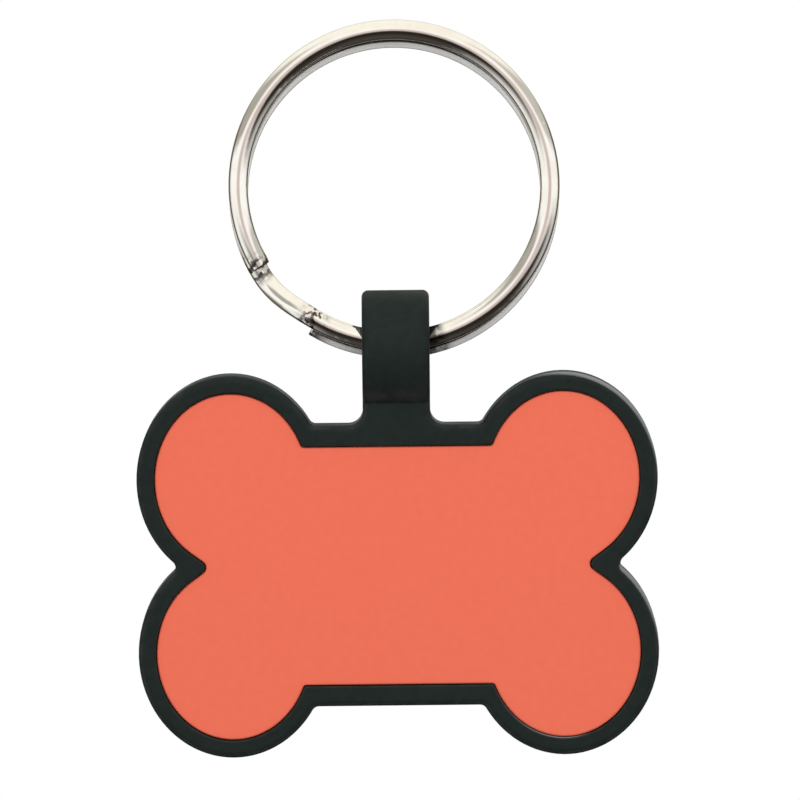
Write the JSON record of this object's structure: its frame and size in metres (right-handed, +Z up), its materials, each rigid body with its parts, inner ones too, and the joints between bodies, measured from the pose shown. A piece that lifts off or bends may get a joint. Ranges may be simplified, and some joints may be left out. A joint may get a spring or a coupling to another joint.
{
  "type": "pet id tag",
  "caption": "Bone-shaped silicone pet id tag with a black rim and moulded loop, a blank coral face panel, and a nickel split ring that hangs it from a collar.",
  "frame": {"origin": "the point inside the top of the split ring's front turn, from which the tag hangs", "axes": "+Z up along the hanging tag, +X to the right as seen from the coral face, -Y out of the coral face"},
  "size_m": [0.0394, 0.007, 0.0558],
  "materials": {
    "nickel": "polished",
    "black_silicone": "matte",
    "coral_silicone": "matte"
  },
  "bodies": {
    "ring": {"split_ring": "nickel"},
    "tag": {"tag_body": "black_silicone", "face_panel": "coral_silicone"}
  },
  "joints": [
    {"name": "tag_swing", "type": "hinge", "parent": "ring", "child": "tag", "pos_m": [0, 0, -0.02343], "axis": [1, 0, 0], "range_deg": [-125, 125]}
  ]
}
